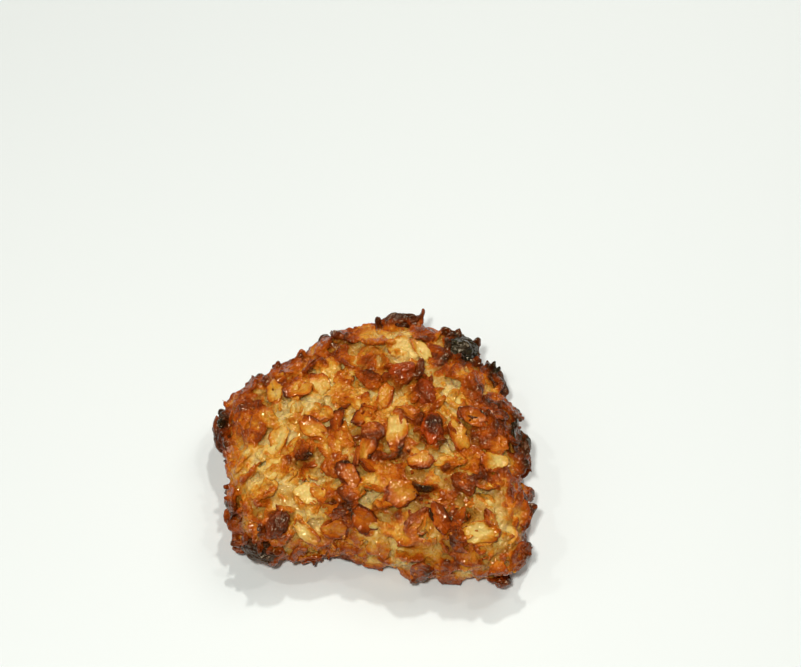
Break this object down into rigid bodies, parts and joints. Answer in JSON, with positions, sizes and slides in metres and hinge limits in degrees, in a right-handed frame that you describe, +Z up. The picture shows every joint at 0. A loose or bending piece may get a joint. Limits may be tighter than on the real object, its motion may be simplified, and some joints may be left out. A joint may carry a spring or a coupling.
{
  "type": "oat biscuit",
  "caption": "A thick, craggy home-baked oat biscuit with a flat underside: rolled oats bound in syrup, with raisins baked into the crust",
  "frame": {"origin": "on the flat underside, near the middle of the biscuit's plan outline", "axes": "+Z up through the thickness, -Y towards the side that faces the picture's camera, +X to that camera's right, along the biscuit's longest extent"},
  "size_m": [0.0743, 0.0697, 0.0225],
  "materials": {
    "baked_oats": "semi-gloss",
    "raisin": "gloss"
  },
  "bodies": {
    "root": {"biscuit": "baked_oats", "raisin_back": "raisin", "raisin_back_right": "raisin", "raisin_block": "raisin", "raisin_centre": "raisin", "raisin_centre_upper": "raisin", "raisin_corner": "raisin", "raisin_front_left": "raisin", "raisin_left_edge": "raisin", "raisin_right_edge": "raisin"}
  },
  "joints": []
}
